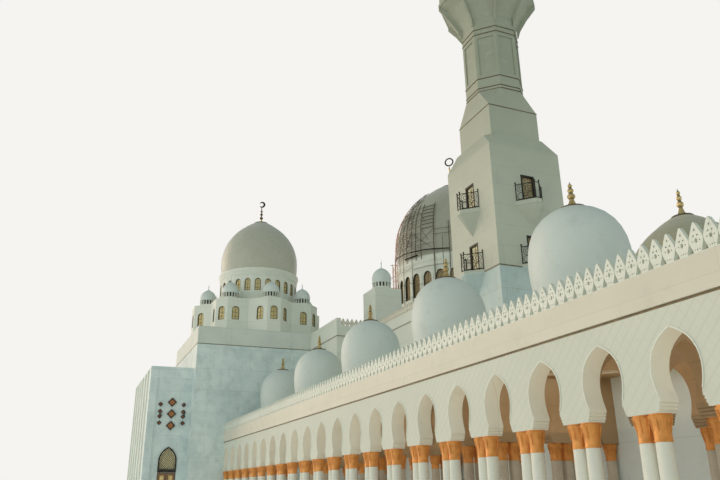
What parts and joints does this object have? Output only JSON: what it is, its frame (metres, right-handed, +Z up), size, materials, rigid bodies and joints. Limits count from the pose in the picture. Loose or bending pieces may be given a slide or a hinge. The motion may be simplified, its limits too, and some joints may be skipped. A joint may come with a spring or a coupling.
{
  "type": "mosque building scale model",
  "caption": "Mosque with domed corner towers, pointed-arch arcades, minarets and a scaffolded main dome, as a 1:10 scale model with an opening double door.",
  "frame": {"origin": "centre of the bounding box at floor level", "axes": "+X runs along the arcades away from the dome towers, -Y is the pictured side, +Z is up"},
  "size_m": [10.6848, 10.2312, 7.5024],
  "materials": {
    "wall": "smooth white cladding",
    "marble": "grey veined marble",
    "dome": "small matt tiles",
    "white_dome": "smooth",
    "gold": "polished",
    "wood": "varnished",
    "floor": "honed",
    "steel": "dull tube"
  },
  "bodies": {
    "root": {"arcade_front_west_south": "wall", "arcade_front_west_north": "wall", "arcade_front_mid_south": "wall", "arcade_front_mid_north": "wall", "arcade_front_east_south": "wall", "arcade_front_east_north": "wall", "arcade_cross_south": "wall", "arcade_cross_north": "wall", "arcade_end_south": "wall", "arcade_end_north": "wall", "hall_side_south": "wall", "hall_side_north": "wall", "tower_crown_south": "wall", "tower_crown_north": "wall", "tower_drum_south": "wall", "tower_drum_north": "wall", "stair_turret_south": "wall", "stair_turret_north": "wall", "minaret_body_south": "wall", "minaret_body_north": "wall", "minaret_shaft_south": "wall", "minaret_shaft_north": "wall", "minaret_stage_south": "wall", "minaret_stage_north": "wall", "arcade_back_south": "marble", "arcade_back_north": "marble", "tower_base_south": "marble", "tower_base_north": "marble", "wing_walls_south": "marble", "wing_walls_north": "marble", "wing_front_south": "marble", "wing_front_north": "marble", "arcade_roof_south": "white_dome", "arcade_roof_north": "white_dome", "tower_dome_south": "dome", "tower_dome_north": "dome", "court_pavilion_south": "dome", "court_pavilion_north": "dome", "tower_finial_south": "gold", "tower_finial_north": "gold", "minaret_finial_south": "gold", "minaret_finial_north": "gold", "door_north": "wood", "hall_front": "wall", "hall_back": "wall", "hall_roof": "floor", "main_drum": "wall", "main_dome": "dome", "main_finial": "gold", "scaffold": "steel", "floor": "floor"},
    "left_leaf": {"door_leaf_left": "wood"},
    "right_leaf": {"door_leaf_right": "wood"}
  },
  "joints": [
    {"name": "left_leaf_swing", "type": "hinge", "parent": "root", "child": "left_leaf", "pos_m": [-3.2706, -4.9122, 0.2], "axis": [0, 0, 1], "range_deg": [0, 90]},
    {"name": "right_leaf_swing", "type": "hinge", "parent": "root", "child": "right_leaf", "pos_m": [-3.2706, -4.7196, 0.2], "axis": [0, 0, -1], "range_deg": [0, 90]}
  ]
}
